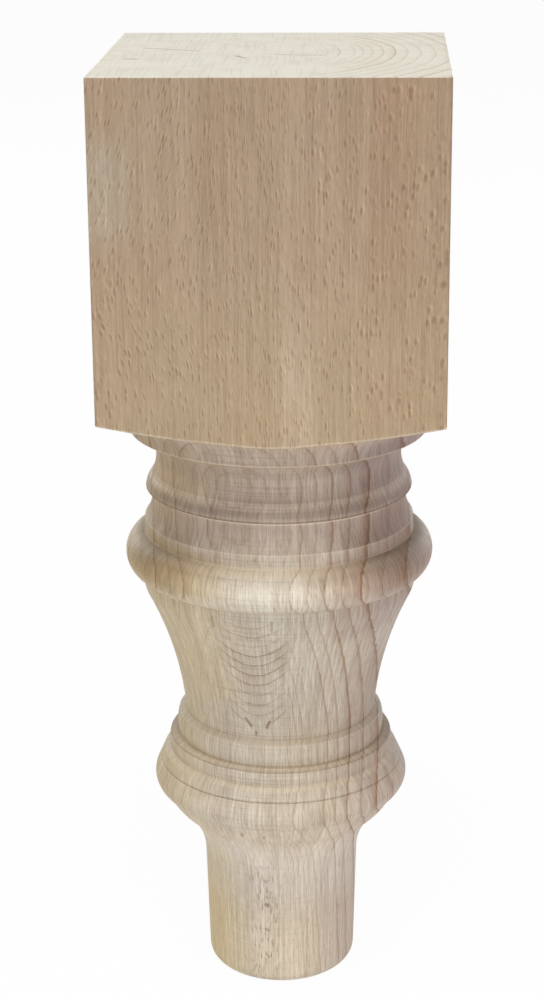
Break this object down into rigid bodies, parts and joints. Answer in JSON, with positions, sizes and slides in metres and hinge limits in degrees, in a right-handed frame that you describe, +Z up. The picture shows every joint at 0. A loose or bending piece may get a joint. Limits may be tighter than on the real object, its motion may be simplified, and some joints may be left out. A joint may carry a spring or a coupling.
{
  "type": "turned wooden furniture leg",
  "caption": "Short turned leg for furniture: a square mounting block over a ringed, vase-shaped turning and a plain round foot, in unfinished beech.",
  "frame": {"origin": "centre of the foot's round underside, on the turning axis, at floor level", "axes": "+Z up the turning axis from the foot to the block's top face; X and Y square to the block's side faces, with -Y towards the front face"},
  "size_m": [0.08, 0.08, 0.235],
  "materials": {
    "beech": "bare turned wood, unsanded end grain, matt"
  },
  "bodies": {
    "root": {"turned_leg": "beech"}
  },
  "joints": []
}
